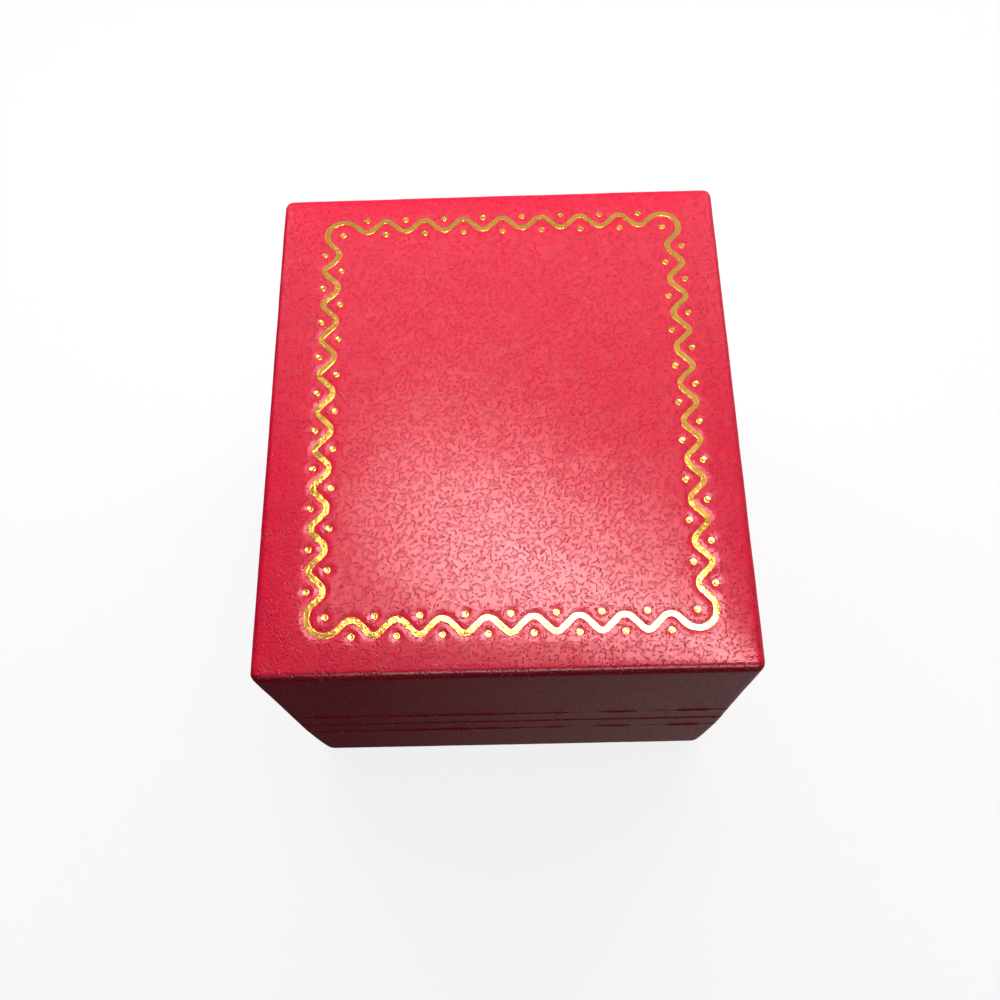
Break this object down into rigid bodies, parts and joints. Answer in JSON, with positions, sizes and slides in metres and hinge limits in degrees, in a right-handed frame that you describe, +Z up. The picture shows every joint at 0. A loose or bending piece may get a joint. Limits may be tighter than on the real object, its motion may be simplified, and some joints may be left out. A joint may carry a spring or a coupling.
{
  "type": "ring box",
  "caption": "Hinged ring box in red grained leatherette, with a gold wave border on its padded lid and a slotted velvet ring pad in its base.",
  "frame": {"origin": "middle of the bottom, on the surface the box stands on", "axes": "+Z up; the front faces -Y and the hinge is at +Y; +X is to the right seen from the front"},
  "size_m": [0.048, 0.055, 0.04],
  "materials": {
    "leatherette": "glossy pebble grain",
    "gold_foil": "hot-stamped foil, bright, with small breaks over the grain",
    "shell_plastic": "moulded, matt",
    "leather_paper": "embossed leather paper on card",
    "hinge_steel": "plated steel strip, light scratches",
    "spring_steel": "bright spring steel",
    "card": "grey board",
    "foam": "soft open-cell foam",
    "velvet": "short-pile black velvet",
    "satin": "ivory satin, soft sheen"
  },
  "bodies": {
    "base": {"base_shell": "shell_plastic", "base_wrap": "leatherette", "bottom_panel": "leather_paper", "base_hinge_leaf": "hinge_steel", "base_hinge_rivets": "hinge_steel", "hinge_pin": "hinge_steel", "snap_spring": "spring_steel", "ring_pad_card": "card", "ring_pad_front_foam": "foam", "ring_pad_front_velvet": "velvet", "ring_pad_back_foam": "foam", "ring_pad_back_velvet": "velvet", "base_lining_front": "velvet", "base_lining_back": "velvet", "base_lining_left": "velvet", "base_lining_right": "velvet"},
    "lid": {"lid_shell": "shell_plastic", "lid_wrap": "leatherette", "gold_foil_wave": "gold_foil", "gold_foil_dots": "gold_foil", "lid_hinge_leaf": "hinge_steel", "lid_hinge_rivets": "hinge_steel", "lid_pad_card": "card", "lid_pad_foam": "foam", "lid_pad_satin": "satin", "lid_lining_front": "satin", "lid_lining_back": "satin", "lid_lining_left": "satin", "lid_lining_right": "satin"}
  },
  "joints": [
    {"name": "lid_hinge", "type": "hinge", "parent": "base", "child": "lid", "pos_m": [0, 0.0262, 0.0173], "axis": [-1, 0, 0], "range_deg": [0, 92], "deforming": ["snap_spring"]}
  ]
}
